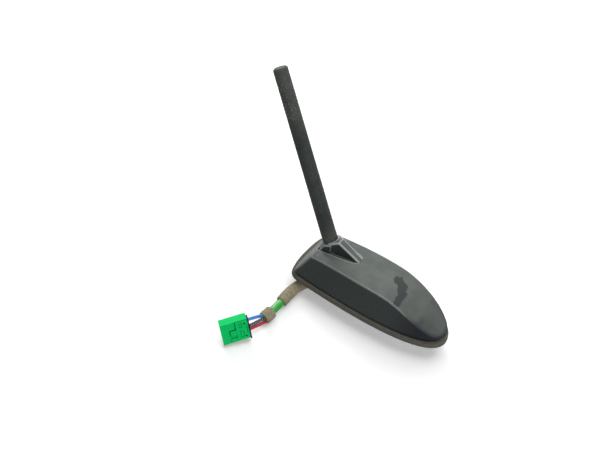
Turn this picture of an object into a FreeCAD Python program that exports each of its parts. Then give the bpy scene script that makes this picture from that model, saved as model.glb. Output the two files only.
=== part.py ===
import FreeCAD, Part
import math
import os
import re
import Sketcher

# Car roof antenna: moulded base with a raked rod mast, a rubber gasket and a short harness.
# Frame: origin on the roof bolt's axis in the plane of the roof skin, +X to the nose, +Z up.

V = FreeCAD.Vector

SIZES = [
    # Plan of the base
    ("gasket_width", 56.0),
    ("rear_reach", 63.6),
    ("nose_reach", 66.0),
    ("rear_run", 14.6),
    ("rear_run_top", 1.5),
    ("gasket_height", 3.6),
    ("gasket_draft", 0.8),
    ("gasket_land", 8.4),
    # Housing
    ("rim_inset", 1.9),
    ("nose_inset", 1.6),
    ("rear_inset", 2.6),
    ("flank_run", 4.5),
    ("skirt_height", 2.4),
    ("skirt_step", 0.6),
    ("shell_wall", 2.2),
    ("crown_top", 30.1),
    ("crown_peak", 12.9),
    ("rear_drop", 3.9),
    ("nose_lip", 4.2),
    ("crown_radius", 48.6),
    ("crown_radius_nose", 26.0),
    ("flank_top_rear_half", 8.4),
    ("flank_top_mid_half", 22.3),
    ("flank_top_nose_half", 11.9),
    ("flank_top_level", 34.0),
    ("rear_lean_run", 15.5),
    ("nose_overrun", 8.6),
    ("crease_round", 0.8),
    ("crease_round_nose", 7.0),
    # Mast boss
    ("seat_from_rear", 20.5),
    ("seat_level", 31.3),
    ("mast_rake", 26.0),
    ("seat_half", 6.8),
    ("seat_round", 1.2),
    ("shoulder_flare", 0.7),
    ("shoulder_depth", 14.0),
    ("boss_rear_half", 8.2),
    ("boss_foot_half", 6.2),
    ("boss_front_half", 3.8),
    ("step_rise", 1.8),
    ("step_ahead", 4.4),
    ("step_half", 6.0),
    ("ridge_ahead", 8.8),
    ("ridge_half", 3.5),
    ("ridge_end_ahead", 28.5),
    ("ridge_end_half", 2.5),
    ("ridge_round", 0.6),
    ("rim_from_rear", 14.6),
    ("rim_round", 0.5),
    ("trench_depth", 0.8),
    ("trench_rear_half", 8.2),
    ("trench_mid_ahead", 18.1),
    ("trench_mid_half", 6.1),
    ("trench_tip_ahead", 25.1),
    ("trench_tip_half", 4.7),
    ("boss_core_level", 20.5),
    # Mast
    ("mast_length", 134.0),
    ("mast_foot_dia", 12.0),
    ("mast_tip_dia", 9.8),
    ("mast_foot_round", 1.5),
    ("mast_tip_round", 0.9),
    ("mast_clearance", 0.2),
    ("ferrule_dia", 8.0),
    ("ferrule_length", 16.0),
    ("thread_dia", 5.0),
    ("thread_length", 9.0),
    ("bush_dia", 9.0),
    ("bush_length", 13.0),
    ("core_dia", 4.2),
    ("winding_dia", 5.4),
    ("core_end_gap", 5.0),
    ("winding_end_gap", 12.0),
    # Base plate
    ("plate_gap", 0.3),
    ("plate_top", 2.6),
    ("plate_recess", 0.4),
    ("spigot_length", 24.0),
    ("spigot_width", 18.0),
    ("spigot_drop", 15.0),
    ("spigot_round", 3.0),
    ("spigot_flange", 2.5),
    ("spigot_flange_height", 1.8),
    ("bolt_bore_dia", 6.8),
    ("bolt_bore_depth", 16.0),
    ("spigot_behind", 5.0),
    ("duct_length", 9.0),
    ("duct_width", 10.0),
    ("duct_wall", 2.4),
    ("seal_width", 3.0),
    ("seal_height", 2.0),
    # Screws
    ("post_dia", 6.4),
    ("screw_dia", 2.6),
    ("screw_grip", 8.0),
    ("screw_head_dia", 5.2),
    ("screw_head_height", 1.9),
    ("screw_slot", 0.8),
    ("screw_rear_ahead", "=18.6 - rear_reach"),
    ("screw_mid_ahead", 4.0),
    ("screw_nose_ahead", 40.0),
    ("screw_edge_gap", 0.3),
    # Electronics
    ("board_from_rear", 19.6),
    ("board_front", 34.0),
    ("board_post_gap", 3.8),
    ("board_length", "=rear_reach - board_from_rear + board_front"),
    ("board_width", "=gasket_width - 2 * gasket_land - screw_head_dia - post_dia - board_post_gap"),
    ("board_thick", 1.6),
    ("board_lift", 3.0),
    ("board_ahead", "=board_front - board_length / 2"),
    ("board_edge", 3.2),
    ("board_post_dia", 5.0),
    ("board_screw_dia", 2.0),
    ("board_screw_head_dia", 3.8),
    ("board_screw_head_height", 1.5),
    ("board_screw_grip", 2.4),
    ("can_length", 26.0),
    ("can_width", 17.0),
    ("can_height", 4.6),
    ("can_wall", 0.4),
    ("can_ahead", -9.0),
    ("patch_side", 18.0),
    ("patch_thick", 4.0),
    ("patch_ahead", 18.0),
    ("chip_length", 5.0),
    ("chip_width", 3.6),
    ("chip_height", 1.3),
    ("chip_gap", 1.0),
    ("chip_pitch", 6.0),
    ("leaf_thick", 0.5),
    ("leaf_width", 4.0),
    ("leaf_foot", 6.0),
    # Harness
    ("jacket_dia", 6.6),
    ("sleeve_dia", 10.0),
    ("ring_dia", 10.6),
    ("ring_length", 8.6),
    ("lead_dia", 2.5),
    ("lead_pitch", 3.0),
    ("lead_depth", 1.6),
    ("grommet_neck", 0.9),
    ("grommet_flange_dia", 11.0),
    ("grommet_flange", 1.6),
    # Connector
    ("plug_length", 20.0),
    ("plug_height", 17.6),
    ("plug_thick", 7.4),
    ("plug_wall", 1.1),
    ("plug_rear_length", 9.1),
    ("plug_rear_step", 0.6),
    ("plug_rear_margin", 0.5),
    ("plug_latch_rise", 1.0),
    ("plug_latch_length", 4.6),
    ("plug_latch_low", 6.2),
    ("plug_latch_width", 4.4),
    ("plug_block_rise", 0.5),
    ("plug_block_length", 5.0),
    ("plug_block_low", 1.0),
    ("plug_block_width", 2.8),
    ("plug_groove", 0.5),
    ("plug_groove_depth", 0.5),
    ("plug_line", 0.35),
    ("plug_line_depth", 0.3),
    ("plug_frame_back", 4.5),
    ("plug_frame_length", 2.3),
    ("plug_frame_low", 11.6),
    ("plug_frame_width", 3.5),
    ("plug_panel_back", 3.9),
    ("plug_panel_length", 2.6),
    ("plug_panel_low", 3.2),
    ("plug_panel_width", 5.3),
    ("plug_rib_back", 1.0),
    ("plug_rib_low", 5.5),
    ("plug_rib_width", 8.0),
    ("plug_hole", 1.1),
    ("plug_hole_back", 2.6),
    ("plug_hole_inset", 3.2),
    ("plug_ahead", -50.8),
    ("plug_side", -84.2),
    ("plug_lift", 4.45),
    ("plug_yaw", -123.5),
    ("plug_pitch", 4.8),
    ("plug_lean", 22.0),
    ("retainer_thick", 1.0),
    ("retainer_proud", 0.3),
    ("retainer_depth", 4.0),
    ("terminal_width", 1.6),
    ("terminal_thick", 0.8),
    ("terminal_length", 17.0),
    ("terminal_gap", 0.2),
]

doc = FreeCAD.newDocument("roof_antenna")
sheet = doc.addObject("Spreadsheet::Sheet", "Sizes")
for row, (alias, value) in enumerate(SIZES, start=1):
    sheet.set("A%d" % row, alias)
    sheet.set("B%d" % row, str(value))
    sheet.setAlias("B%d" % row, alias)
doc.recompute()
pieces = []


def number(expression):
    return float(sheet.evalExpression(expression))


def bind(thing, prop, expression):
    thing.setExpression(prop, re.sub(r"\b([a-z]+(?:_[a-z]+)+)\b", r"Sizes.\1", expression))


def keep(thing, label, placement=None):
    thing.Label = label
    if placement is not None:
        thing.Placement = placement
    pieces.append(thing)


def keep_shape(shape, label, placement=FreeCAD.Placement()):
    thing = doc.addObject("Part::Feature", label)
    thing.Shape = shape
    keep(thing, label, placement)


# Sketched bodies

NO_CHANGE = 1e-4
TINY = 1e-3


def new_body(name):
    return doc.addObject("PartDesign::Body", name + "_body")


def new_sketch(body, role, lift="0"):
    plane = [feature for feature in body.Origin.OriginFeatures if feature.Role == role][0]
    sketch = body.newObject("Sketcher::SketchObject", body.Name + "_sketch")
    sketch.AttachmentSupport = [(plane, "")]
    sketch.MapMode = "FlatFace"
    bind(sketch, "AttachmentOffset.Base.z", lift)
    return sketch


def pin(sketch, geometry, end, across, up):
    for kind, expression in (("DistanceX", across), ("DistanceY", up)):
        index = sketch.addConstraint(Sketcher.Constraint(kind, -1, 1, geometry, end, number(expression)))
        bind(sketch, "Constraints[%d]" % index, expression)


def draw_polygon(sketch, corners):
    spots = [V(number(across), number(up), 0) for across, up in corners]
    first = len(sketch.Geometry)
    count = len(corners)
    for i in range(count):
        sketch.addGeometry(Part.LineSegment(spots[i], spots[(i + 1) % count]))
    for i in range(count):
        sketch.addConstraint(Sketcher.Constraint("Coincident", first + i, 2, first + (i + 1) % count, 1))
    for i, (across, up) in enumerate(corners):
        pin(sketch, first + i, 1, across, up)


def draw_box(sketch, left, right, low, high):
    draw_polygon(sketch, [(left, low), (right, low), (right, high), (left, high)])


def draw_circle(sketch, across, up, radius):
    circle = Part.Circle(V(number(across), number(up), 0), V(0, 0, 1), number(radius))
    index = sketch.addGeometry(circle)
    pin(sketch, index, 3, across, up)
    size = sketch.addConstraint(Sketcher.Constraint("Radius", index, number(radius)))
    bind(sketch, "Constraints[%d]" % size, radius)


def volume(body):
    return 0.0 if body.Shape.isNull() else body.Shape.Volume


def add_feature(body, kind, sketch, length, backwards):
    before = volume(body)
    feature = body.newObject("PartDesign::" + kind, body.Name + "_" + kind.lower())
    feature.Profile = sketch
    bind(feature, "Length", length)
    feature.Reversed = backwards
    doc.recompute()
    change = volume(body) - before
    if abs(change) < NO_CHANGE or (change > 0) != (kind == "Pad"):
        raise RuntimeError("%s has no effect in %s" % (kind, body.Name))


def pad(body, sketch, length, backwards=False):
    add_feature(body, "Pad", sketch, length, backwards)


def pocket(body, sketch, length, backwards=False):
    add_feature(body, "Pocket", sketch, length, backwards)


def block_body(name, length, width, height):
    body = new_body(name)
    sketch = new_sketch(body, "XY_Plane")
    draw_box(sketch, "-%s / 2" % length, "%s / 2" % length, "-%s / 2" % width, "%s / 2" % width)
    pad(body, sketch, height)
    return body


def turned(name, profile):
    body = new_body(name)
    sketch = new_sketch(body, "XZ_Plane")
    draw_polygon(sketch, profile)
    feature = body.newObject("PartDesign::Revolution", name + "_turn")
    feature.Profile = sketch
    feature.ReferenceAxis = (sketch, ["V_Axis"])
    feature.Angle = 360
    doc.recompute()
    return body


def at(x, y, z):
    return FreeCAD.Placement(V(x, y, z), FreeCAD.Rotation())


def group_at(shape, spots, level):
    copies = []
    for x, y in spots:
        copy = shape.copy()
        copy.translate(V(x, y, level))
        copies.append(copy)
    return Part.makeCompound(copies)


# Solids placed by their limits

def box_between(x0, x1, y0, y1, z0, z1):
    return Part.makeBox(x1 - x0, y1 - y0, z1 - z0, V(x0, y0, z0))


def half_space_below(level):
    return box_between(-BEYOND, BEYOND, -BEYOND, BEYOND, level - BEYOND, level)


def cylinder_up(x, y, z0, z1, diameter):
    return Part.makeCylinder(diameter / 2, z1 - z0, V(x, y, z0))


def rod(start, end, outer, inner=0.0):
    heading = end - start
    solid = Part.makeCylinder(outer / 2, heading.Length, start, heading)
    if inner:
        solid = solid.cut(Part.makeCylinder(inner / 2, heading.Length, start, heading))
    return solid


def face_of(points):
    return Part.Face(Part.makePolygon(points + [points[0]]))


# Plan of the base: cubic curves, square at the rear and pointed at the nose

BEYOND = 300.0
REAR_FULLNESS = 0.85
CORNER_FULLNESS = 0.75
SIDE_FULLNESS = 0.62
NOSE_FULLNESS = 0.75
SIDE_FULLNESS_TOP = 0.4
FLANK_SPLIT = 0.5


def split_curve(poles):
    rows = [poles]
    while len(rows[-1]) > 1:
        rows.append([a + (b - a) * FLANK_SPLIT for a, b in zip(rows[-1], rows[-1][1:])])
    return [[row[0] for row in rows], [row[-1] for row in reversed(rows)]]


def plan_poles(rear, nose, halves, run, level, side):
    corner = rear + run
    rear_half, mid_half, nose_half = halves
    flank = [V(corner, -rear_half, level), V(corner + side * (nose - corner), -mid_half, level),
             V(nose, -nose_half, level), V(nose, 0, level)]
    along = V(flank[1] - flank[0]).normalize()
    rear_quarter = [V(rear, 0, level), V(rear, -REAR_FULLNESS * rear_half, level),
                    flank[0] - along * (CORNER_FULLNESS * run), flank[0]]
    near = [rear_quarter] + split_curve(flank)
    return near + [[V(p.x, -p.y, p.z) for p in reversed(curve)] for curve in reversed(near)]


def outline(poles):
    edges = []
    for curve_poles in poles:
        curve = Part.BezierCurve()
        curve.setPoles(curve_poles)
        edges.append(curve.toShape())
    return Part.Wire(edges)


def base_plan(inset, level):
    half = number("gasket_width / 2") - inset
    return outline(plan_poles(inset - number("rear_reach"), number("nose_reach") - inset,
                              (half, half, NOSE_FULLNESS * half), number("rear_run"), level, SIDE_FULLNESS))


def shell_poles(inset, level):
    half = number("gasket_width / 2") - inset
    return plan_poles(inset - number("rear_reach - rear_inset"), number("nose_reach - nose_inset") - inset,
                      (half, half, NOSE_FULLNESS * half), number("flank_run"), level, SIDE_FULLNESS)


def shell_plan(inset, level):
    return outline(shell_poles(inset, level))


def slab(wire, height):
    return Part.Face(wire).extrude(V(0, 0, height))


def drafted(lower, upper):
    return Part.makeLoft([lower, upper], True, True)


def screw_side(x):
    inside = base_plan(number("gasket_land"), 0.0).makeOffset2D(-number("screw_head_dia / 2 + screw_edge_gap"))
    across = Part.makeLine(V(x, -BEYOND, 0), V(x, 0, 0))
    meeting = inside.distToShape(across)[1][0][0]
    return -meeting.y


RIM = number("gasket_height")
SKIRT_TOP = number("gasket_height + skirt_height")
PLATE_LEVEL = number("gasket_height + plate_top")
FLOOR = -number("spigot_drop")
SCREW_SPOTS = [(x, sign * screw_side(x))
               for x in [number("screw_%s_ahead" % place) for place in ("rear", "mid", "nose")]
               for sign in (-1, 1)]
RIM_FRONT = -number("rear_reach - rim_from_rear")
SEAT = V(-number("rear_reach - seat_from_rear"), 0, number("seat_level"))
RAKE = math.radians(number("mast_rake"))
MAST_DIRECTION = V(-math.sin(RAKE), 0, math.cos(RAKE))
MAST_PLACEMENT = FreeCAD.Placement(SEAT, FreeCAD.Rotation(V(0, 1, 0), -number("mast_rake")))


# Housing: the flanks are a drafted loft, cut off above by a crowned surface that falls to the nose

CROWN_FALL = 1.7
CROWN_ROWS = 15
CROWN_COLUMNS = 9
CROWN_MISS = 0.3
RIDGE_RUN_ON = 1 / 3


def crown_level(x, y):
    peak, nose = number("crown_peak"), number("nose_reach - rim_inset - nose_inset")
    ahead = (x - peak) / (nose - peak)
    if ahead > 0:
        fall = number("crown_top - gasket_height - nose_lip") * ahead ** CROWN_FALL
    else:
        fall = number("rear_drop") * ahead ** 2
    share = min(max(ahead, 0.0), 1.0) ** 2
    radius = number("crown_radius") + number("crown_radius_nose - crown_radius") * share
    return number("crown_top") - fall - y ** 2 / (2 * radius)


def crown_solid(sink):
    rear, nose = -number("rear_reach"), number("nose_reach")
    half = number("gasket_width / 2")
    grid = []
    for i in range(CROWN_ROWS):
        x = rear + (nose - rear) * i / (CROWN_ROWS - 1)
        sides = [half * (2 * j / (CROWN_COLUMNS - 1) - 1) for j in range(CROWN_COLUMNS)]
        grid.append([V(x, y, crown_level(x, y) - sink) for y in sides])
    surface = Part.BSplineSurface()
    surface.interpolate(grid)
    return surface.toShape().extrude(V(0, 0, -BEYOND))


def flank_solid(inset):
    lower = shell_poles(number("rim_inset") + inset, SKIRT_TOP)
    halves = [number("flank_top_%s_half" % place) - inset for place in ("rear", "mid", "nose")]
    upper = plan_poles(inset - number("rear_reach - rear_inset - rim_inset - rear_lean_run"),
                       number("nose_reach - rim_inset - nose_inset + nose_overrun") - inset,
                       halves, number("rear_run_top"), number("flank_top_level"), SIDE_FULLNESS_TOP)
    deep = [[low + (low - high) for low, high in zip(*curves)] for curves in zip(lower, upper)]
    return drafted(outline(deep), outline(upper))


def crease_fillet(form):
    near = doc.addObject("Part::Feature", "housing_near_half")
    near.Shape = form.common(box_between(-BEYOND, BEYOND, -BEYOND, 0, -BEYOND, BEYOND))
    rounded = doc.addObject("Part::Fillet", "housing_rounded")
    rounded.Base = near
    edges = []
    for index, edge in enumerate(near.Shape.Edges, start=1):
        first, last = edge.valueAt(edge.FirstParameter), edge.valueAt(edge.LastParameter)
        middle = edge.valueAt((edge.FirstParameter + edge.LastParameter) / 2)
        on_crown = all(abs(p.z - crown_level(p.x, p.y)) < CROWN_MISS for p in (first, middle, last))
        if not on_crown or abs(middle.y) < TINY or middle.z < RIM:
            continue
        radii = [number("crease_round_nose") if abs(p.y) < TINY and p.x > 0 else number("crease_round")
                 for p in (first, last)]
        edges.append((index, radii[0], radii[1]))
    rounded.Edges = edges
    doc.recompute()
    half = rounded.Shape.copy()
    return half.fuse(half.mirror(V(0, 0, 0), V(0, 1, 0))).removeSplitter()


def seat_plane(x):
    return SEAT.z + math.tan(RAKE) * (x - SEAT.x)


def trapezoid(x, low_half, top_half, top):
    low = number("boss_core_level")
    points = [V(x, -low_half, low), V(x, low_half, low), V(x, top_half, top), V(x, -top_half, top)]
    return Part.makePolygon(points + [points[0]])


def boss_cone():
    top, depth = number("seat_half"), number("shoulder_depth")
    cone = Part.makeCone(top, top + number("shoulder_flare") * depth, depth, SEAT, MAST_DIRECTION * -1)
    rim = [edge for edge in cone.Edges if abs(edge.Length - 2 * math.pi * top) < TINY]
    return cone.makeFillet(number("seat_round"), rim)


def boss_front():
    step_x = SEAT.x + number("step_ahead")
    ridge_x = SEAT.x + number("ridge_ahead")
    end_x = SEAT.x + number("ridge_end_ahead")
    foot, half, end_half = number("boss_foot_half"), number("step_half"), number("ridge_end_half")
    rise = number("step_rise")
    ridge_top = seat_plane(ridge_x) + rise
    end_top = crown_level(end_x, 0)
    past_x = end_x + (end_x - ridge_x) * RIDGE_RUN_ON
    past_top = end_top + (end_top - ridge_top) * RIDGE_RUN_ON
    rear = number("boss_rear_half")
    seat_block = Part.makeLoft([trapezoid(RIM_FRONT, rear, rear, seat_plane(RIM_FRONT)),
                                trapezoid(step_x, foot, foot, seat_plane(step_x))], True, True)
    wedge = Part.makeLoft([trapezoid(SEAT.x, foot, half, seat_plane(SEAT.x) + rise),
                           trapezoid(step_x, foot, half, seat_plane(step_x) + rise),
                           trapezoid(ridge_x, number("boss_front_half"), number("ridge_half"), ridge_top),
                           trapezoid(past_x, end_half, end_half, past_top)], True, True)
    ridges = [edge for edge in wedge.Edges
              if all(point.Z > number("boss_core_level") + TINY and point.X > ridge_x - TINY
                     for point in edge.Vertexes)
              and edge.BoundBox.XLength > TINY]
    wedge = wedge.makeFillet(number("ridge_round"), ridges)
    recess = rod(SEAT, SEAT + MAST_DIRECTION * BEYOND, number("mast_foot_dia + 2 * mast_clearance"))
    return boss_cone().common(seat_block).fuse(wedge.cut(recess))


def trench():
    depth = number("trench_depth")
    end_x = SEAT.x + number("ridge_end_ahead")
    stations = [(RIM_FRONT, number("trench_rear_half"))]
    for place in ("mid", "tip"):
        stations.append((SEAT.x + number("trench_%s_ahead" % place), number("trench_%s_half" % place)))
    stations.append((end_x, number("ridge_end_half")))
    rear_level = crown_level(*stations[0])
    slope = (crown_level(end_x, 0) - rear_level) / (end_x - RIM_FRONT)

    def loop(down):
        near = [V(x, down - half, rear_level + slope * (x - RIM_FRONT) - down) for x, half in stations]
        points = near + [V(p.x, -p.y, p.z) for p in reversed(near)]
        return Part.makePolygon(points + [points[0]])

    return Part.makeLoft([loop(depth), loop(-depth)], True, True)


def rear_rim():
    rim = flank_solid(0.0).common(box_between(-BEYOND, RIM_FRONT, -BEYOND, BEYOND, SKIRT_TOP, BEYOND))
    top = [edge for edge in rim.Edges if edge.BoundBox.XLength < TINY and edge.BoundBox.ZLength > TINY]
    return rim.makeFillet(number("rim_round"), top)


def cavity_solid():
    inset = number("shell_wall + skirt_step")
    cavity = flank_solid(inset).common(crown_solid(number("shell_wall"))).cut(half_space_below(SKIRT_TOP))
    cavity = cavity.fuse(slab(shell_plan(number("rim_inset") + inset, RIM), number("skirt_height")))
    core_front = SEAT.x + number("ridge_end_ahead")
    core_half = number("trench_rear_half + shell_wall")
    cavity = cavity.cut(box_between(-BEYOND, core_front, -core_half, core_half,
                                    number("boss_core_level"), BEYOND))
    for x, y in SCREW_SPOTS:
        cavity = cavity.cut(cylinder_up(x, y, PLATE_LEVEL, BEYOND, number("post_dia")))
    return cavity


def housing():
    form = crease_fillet(flank_solid(0.0).common(crown_solid(0.0))).cut(half_space_below(SKIRT_TOP))
    skirt = slab(shell_plan(number("rim_inset + skirt_step"), RIM), number("skirt_height"))
    form = form.fuse(skirt.common(crown_solid(0.0))).cut(trench())
    behind = box_between(-BEYOND, RIM_FRONT, -BEYOND, BEYOND, -BEYOND, BEYOND)
    form = form.fuse(rear_rim()).fuse(boss_cone().common(behind)).fuse(boss_front()).cut(cavity_solid())
    for x, y in SCREW_SPOTS:
        form = form.cut(cylinder_up(x, y, PLATE_LEVEL, PLATE_LEVEL + number("screw_grip"),
                                    number("screw_dia")))
    form = form.cut(rod(SEAT, SEAT - MAST_DIRECTION * number("bush_length + bush_dia"), number("bush_dia")))
    keep_shape(form.removeSplitter(), "housing")


# Gasket, base plate and its screws

def perimeter_gasket():
    ring = drafted(base_plan(0.0, 0.0), base_plan(number("gasket_draft"), RIM))
    keep_shape(ring.cut(slab(base_plan(number("gasket_land"), 0.0), RIM)), "perimeter_gasket")


def spigot_block(grow, low, high):
    middle = -number("spigot_behind")
    length, width = number("spigot_length / 2") + grow, number("spigot_width / 2") + grow
    block = box_between(middle - length, middle + length, -width, width, low, high)
    upright = [edge for edge in block.Edges if abs(edge.Vertexes[0].Z - edge.Vertexes[1].Z) > TINY]
    return block.makeFillet(number("spigot_round") + grow, upright)


def lead_exit():
    return V(-number("spigot_length / 2 + spigot_behind"), 0, FLOOR + number("ring_dia / 2"))


def base_plate():
    recess, gap = number("plate_recess"), number("plate_gap")
    inset = number("rim_inset + skirt_step + shell_wall + plate_gap")
    plate = slab(base_plan(number("gasket_land + plate_gap"), recess), RIM - recess)
    plate = plate.fuse(slab(shell_plan(inset, RIM), number("plate_top")))
    plate = plate.cut(spigot_block(0.0, FLOOR, PLATE_LEVEL))
    for x, y in board_spots():
        plate = plate.fuse(cylinder_up(x, y, RIM, BOARD_LOW, number("board_post_dia")))
        plate = plate.cut(cylinder_up(x, y, BOARD_LOW - number("board_screw_grip"), BOARD_LOW,
                                      number("board_screw_dia")))
    for x, y in SCREW_SPOTS:
        plate = plate.cut(cylinder_up(x, y, 0, PLATE_LEVEL, number("screw_dia") + gap))
        plate = plate.cut(cylinder_up(x, y, 0, recess + number("screw_head_height"),
                                      number("screw_head_dia") + gap))
    keep_shape(plate.removeSplitter(), "base_plate")


def clamp_spigot():
    flange = number("spigot_flange")
    top = PLATE_LEVEL + number("spigot_flange_height")
    spigot = spigot_block(0.0, FLOOR, top).fuse(spigot_block(flange, PLATE_LEVEL, top))
    inner = lead_exit().x + number("duct_wall")
    half = number("duct_width / 2")
    spigot = spigot.cut(box_between(inner, inner + number("duct_length"), -half, half,
                                    FLOOR + number("duct_wall"), top))
    spigot = spigot.cut(rod(lead_exit(), lead_exit() + V(number("duct_wall"), 0, 0),
                            number("jacket_dia + 2 * grommet_neck")))
    spigot = spigot.cut(cylinder_up(0, 0, FLOOR, FLOOR + number("bolt_bore_depth"), number("bolt_bore_dia")))
    keep_shape(spigot.removeSplitter(), "clamp_spigot")


def spigot_seal():
    top = number("plate_recess")
    low = top - number("seal_height")
    ring = spigot_block(number("seal_width"), low, top).cut(spigot_block(number("plate_gap"), low, top))
    keep_shape(ring, "spigot_seal")


SLOT_SHARE = 0.6


def screw_body(name, head_dia, head_height, shank_dia, shank_length):
    head, shank = head_dia + " / 2", shank_dia + " / 2"
    body = turned(name, [("0", "0"), (head, "0"), (head, head_height), (shank, head_height),
                         (shank, head_height + " + " + shank_length), ("0", head_height + " + " + shank_length)])
    slot = new_sketch(body, "XY_Plane")
    half = "%s * %s / 2" % (SLOT_SHARE, head_dia)
    draw_box(slot, "-" + half, half, "-screw_slot / 2", "screw_slot / 2")
    pocket(body, slot, "screw_slot", True)
    return body


def base_screws():
    reach = "gasket_height + plate_top - plate_recess - screw_head_height + screw_grip"
    body = screw_body("base_screw", "screw_head_dia", "screw_head_height", "screw_dia", reach)
    keep_shape(group_at(body.Shape, SCREW_SPOTS, number("plate_recess")), "base_screws")


# Electronics

BOARD_LOW = PLATE_LEVEL + number("board_lift")
BOARD_TOP = BOARD_LOW + number("board_thick")


def board_spots():
    x = number("board_length / 2 - board_edge")
    y = number("board_width / 2 - board_edge")
    return [(number("board_ahead") + sx * x, sy * y) for sx in (-1, 1) for sy in (-1, 1)]


def circuit_board():
    body = block_body("circuit_board", "board_length", "board_width", "board_thick")
    holes = new_sketch(body, "XY_Plane")
    for sx in ("-1", "1"):
        for sy in ("-1", "1"):
            draw_circle(holes, sx + " * (board_length / 2 - board_edge)",
                        sy + " * (board_width / 2 - board_edge)", "board_screw_dia / 2")
    pocket(body, holes, "board_thick", True)
    keep(body, "circuit_board", at(number("board_ahead"), 0, BOARD_LOW))


def board_screws():
    body = screw_body("board_screw", "board_screw_head_dia", "board_screw_head_height", "board_screw_dia",
                      "board_thick + board_screw_grip")
    turned_over = body.Shape.copy()
    turned_over.rotate(V(0, 0, 0), V(1, 0, 0), 180)
    level = BOARD_TOP + number("board_screw_head_height")
    keep_shape(group_at(turned_over, board_spots(), level), "board_screws")


def board_parts():
    can = block_body("shield_can", "can_length", "can_width", "can_height")
    hollow = new_sketch(can, "XY_Plane")
    draw_box(hollow, "-can_length / 2 + can_wall", "can_length / 2 - can_wall",
             "-can_width / 2 + can_wall", "can_width / 2 - can_wall")
    pocket(can, hollow, "can_height - can_wall", True)
    keep(can, "shield_can", at(number("can_ahead"), 0, BOARD_TOP))
    patch = block_body("patch_antenna", "patch_side", "patch_side", "patch_thick")
    keep(patch, "patch_antenna", at(number("patch_ahead"), 0, BOARD_TOP))
    chip = block_body("chip", "chip_length", "chip_width", "chip_height")
    row = number("can_ahead - can_length / 2 - chip_gap - chip_length / 2")
    spots = [(row, place * number("chip_pitch")) for place in (-1, 0, 1)]
    keep_shape(group_at(chip.Shape, spots, BOARD_TOP), "board_chips")


# Mast, turned on its own axis and then raked

def mast_pieces():
    foot, tip = "mast_foot_dia / 2", "mast_tip_dia / 2"
    bore, wire, core = "ferrule_dia / 2", "winding_dia / 2", "core_dia / 2"
    core_top, wire_top = "mast_length - core_end_gap", "mast_length - winding_end_gap"
    profiles = {
        "mast_sheath": [
            (bore, "0"), (foot + " - mast_foot_round", "0"), (foot, "mast_foot_round"),
            (tip, "mast_length - mast_tip_round"), (tip + " - mast_tip_round", "mast_length"),
            ("0", "mast_length"), ("0", core_top), (core, core_top), (core, wire_top), (wire, wire_top),
            (wire, "ferrule_length"), (bore, "ferrule_length")],
        "mast_ferrule": [
            ("0", "-thread_length"), ("thread_dia / 2", "-thread_length"), ("thread_dia / 2", "0"),
            (bore, "0"), (bore, "ferrule_length"), (core, "ferrule_length"), (core, "ferrule_length / 2"),
            ("0", "ferrule_length / 2")],
        "mast_core": [("0", "ferrule_length / 2"), (core, "ferrule_length / 2"), (core, core_top),
                      ("0", core_top)],
        "mast_winding": [(core, "ferrule_length"), (wire, "ferrule_length"), (wire, wire_top),
                         (core, wire_top)],
        "mast_bush": [("thread_dia / 2", "-bush_length"), ("bush_dia / 2", "-bush_length"),
                      ("bush_dia / 2", "0"), ("thread_dia / 2", "0")],
    }
    for name, profile in profiles.items():
        keep(turned(name, profile), name, MAST_PLACEMENT)


def contact_spring():
    thick, foot, width = number("leaf_thick"), number("leaf_foot"), number("leaf_width")
    end = SEAT - MAST_DIRECTION * number("bush_length")
    lowest = end - V(math.cos(RAKE), 0, math.sin(RAKE)) * number("bush_dia / 2")
    x, top = lowest.x, lowest.z
    knee = BOARD_TOP + (top - BOARD_TOP) / 3
    leaf = face_of([V(x + foot, 0, BOARD_TOP), V(x, 0, BOARD_TOP), V(x - 2 * thick, 0, knee),
                    V(x, 0, top), V(x + thick, 0, top), V(x - thick, 0, knee),
                    V(x + thick, 0, BOARD_TOP + thick), V(x + foot, 0, BOARD_TOP + thick)])
    leaf.translate(V(0, -width / 2, 0))
    keep_shape(leaf.extrude(V(0, width, 0)), "contact_spring")


# Harness: a jacketed lead that lies on the floor, then three leads to the connector

LEAD_ROUTE = [(-25.0, 0.0), (-38.0, -5.6), (-48.4, -17.4), (-52.0, -27.5), (-52.7, -40.0),
              (-51.9, -50.0), (-53.2, -66.4)]
SLEEVE_EDGES = slice(1, 10)
BEND_SHARE = 0.45
LEADS = [("blue_lead", 1, 0.87), ("black_lead", 0, 0.52), ("red_lead", -1, 0.35)]
LEAD_HEIGHTS = [height for label, place, height in LEADS]


def rounded_path(points):
    edges = []
    spot = points[0]
    for before, corner, after in zip(points, points[1:], points[2:]):
        run_in, run_out = corner - before, after - corner
        turn = run_in.getAngle(run_out)
        setback = BEND_SHARE * min(run_in.Length, run_out.Length)
        radius = setback / math.tan(turn / 2)
        way_in, way_out = V(run_in).normalize(), V(run_out).normalize()
        start, end = corner - way_in * setback, corner + way_out * setback
        inward = (way_out - way_in).normalize()
        middle = corner + inward * (radius / math.cos(turn / 2) - radius)
        edges.append(Part.LineSegment(spot, start).toShape())
        edges.append(Part.Arc(start, middle, end).toShape())
        spot = end
        print("bend radius %.1f" % radius)
    edges.append(Part.LineSegment(spot, points[-1]).toShape())
    return Part.Wire(edges)


def tube(path, outer, inner=0.0):
    first = path.Edges[0]
    start, heading = first.valueAt(first.FirstParameter), first.tangentAt(first.FirstParameter)

    def sweep(diameter):
        ring = Part.Wire([Part.makeCircle(diameter / 2, start, heading)])
        return path.makePipeShell([ring], True, False)

    solid = sweep(outer)
    return solid.cut(sweep(inner)) if inner else solid


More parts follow.
